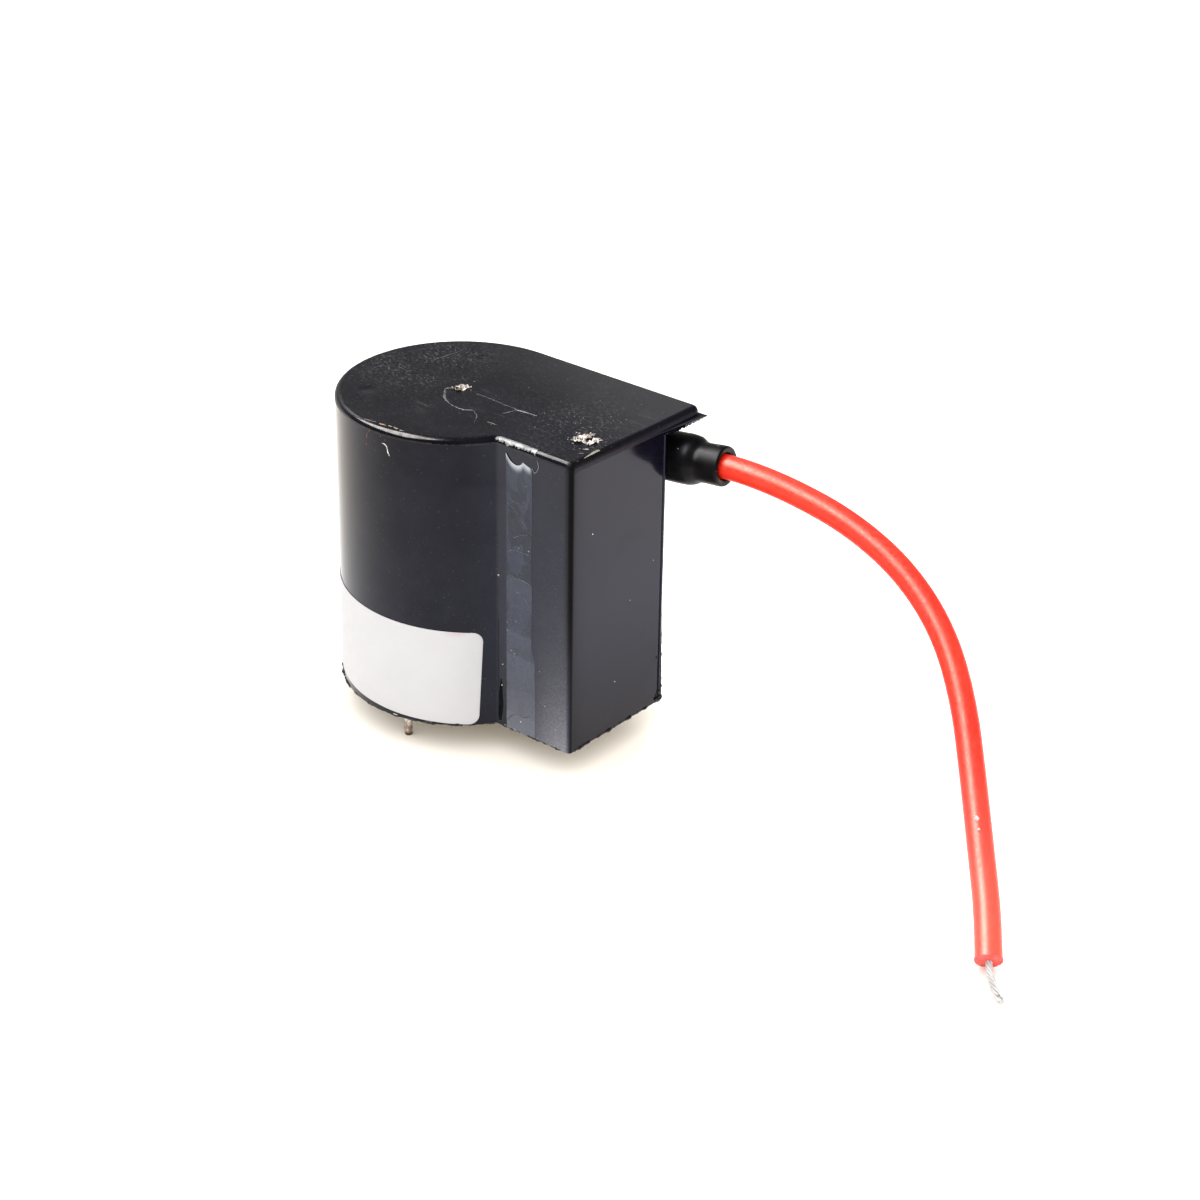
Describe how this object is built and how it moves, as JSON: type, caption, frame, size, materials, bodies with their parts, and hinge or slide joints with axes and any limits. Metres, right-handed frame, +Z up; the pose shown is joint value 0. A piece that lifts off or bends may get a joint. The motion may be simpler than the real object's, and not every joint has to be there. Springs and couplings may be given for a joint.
{
  "type": "high frequency transformer",
  "caption": "Potted high frequency transformer: black barrel and block case, board pins underneath, and a red high voltage lead leaving through a shrink sleeve.",
  "frame": {"origin": "middle of the outline of case, nozzle and label seen from above, on the plane that the pin tips stand on", "axes": "+X from the round barrel to the square block's end face, where the lead leaves; +Z up, from the pins to the closed top"},
  "size_m": [0.1029, 0.0312, 0.0417],
  "materials": {
    "case_plastic": "moulded black, semi-gloss, lightly scuffed and dusty",
    "casting_resin": "black casting resin, glossy, uneven at the rim",
    "sleeve_plastic": "black heat-shrink tubing, satin",
    "lead_red": "red flexible insulation, waxy sheen",
    "tinned_wire": "tinned copper strands, bright",
    "tinned_pin": "solder-dipped pin, bright and a little uneven",
    "label_paper": "white self-adhesive label, matt",
    "clear_tape": "clear tape, wrinkled, partly lifted",
    "ferrite": "dark grey sintered ferrite",
    "film": "yellow insulating film",
    "bobbin_plastic": "moulded black",
    "enamelled_copper": "enamelled copper wire",
    "board": "brown laminate",
    "rectifier_body": "moulded black"
  },
  "bodies": {
    "root": {"blank_label": "label_paper", "case": "case_plastic", "clear_tape_strip": "clear_tape", "core_gap_spacers": "film", "feedback_winding": "enamelled_copper", "heat_shrink_sleeve": "sleeve_plastic", "insulation_tape": "film", "lead_insulation": "lead_red", "lead_strands": "tinned_wire", "lower_core_half": "ferrite", "potting_resin": "casting_resin", "primary_bobbin": "bobbin_plastic", "primary_winding": "enamelled_copper", "rectifier": "rectifier_body", "secondary_bobbin": "bobbin_plastic", "secondary_winding": "enamelled_copper", "terminal_board": "board", "terminal_pins": "tinned_pin", "upper_core_half": "ferrite"}
  },
  "joints": []
}
